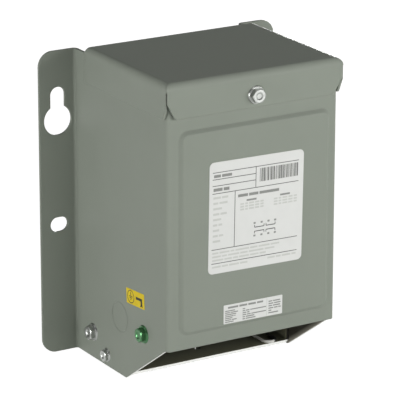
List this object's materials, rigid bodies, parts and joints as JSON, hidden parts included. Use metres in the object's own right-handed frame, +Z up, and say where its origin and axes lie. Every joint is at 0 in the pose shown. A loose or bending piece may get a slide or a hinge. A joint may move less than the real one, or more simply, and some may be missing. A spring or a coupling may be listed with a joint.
{
  "type": "wall-mounted dry-type transformer",
  "caption": "Small wall-hung dry-type transformer in a bent sheet-steel case with a lipped cap, keyhole mounting flanges and a wiring bay that is open at the sloped lower front.",
  "frame": {"origin": "on the back face of the left mounting flange, on its line of holes and halfway up the flange", "axes": "+X to the right seen from the front, +Y into the wall, +Z up"},
  "size_m": [0.1944, 0.1391, 0.2296],
  "materials": {
    "case_paint": "satin grey-green enamel",
    "cast_resin": "dull dark casting resin",
    "zinc": "bright zinc plating",
    "green_ground": "green-dyed plating",
    "lead_cover": "pale wire insulation"
  },
  "bodies": {
    "root": {"case_wrap": "case_paint", "cap": "case_paint", "back_tray": "case_paint", "bottom_pan": "case_paint", "core_block": "cast_resin", "cap_screw": "zinc", "left_rear_screw": "zinc", "right_rear_screw": "zinc", "left_pan_screw": "zinc", "right_pan_screw": "zinc", "ground_screw": "green_ground", "lead": "lead_cover"}
  },
  "joints": []
}
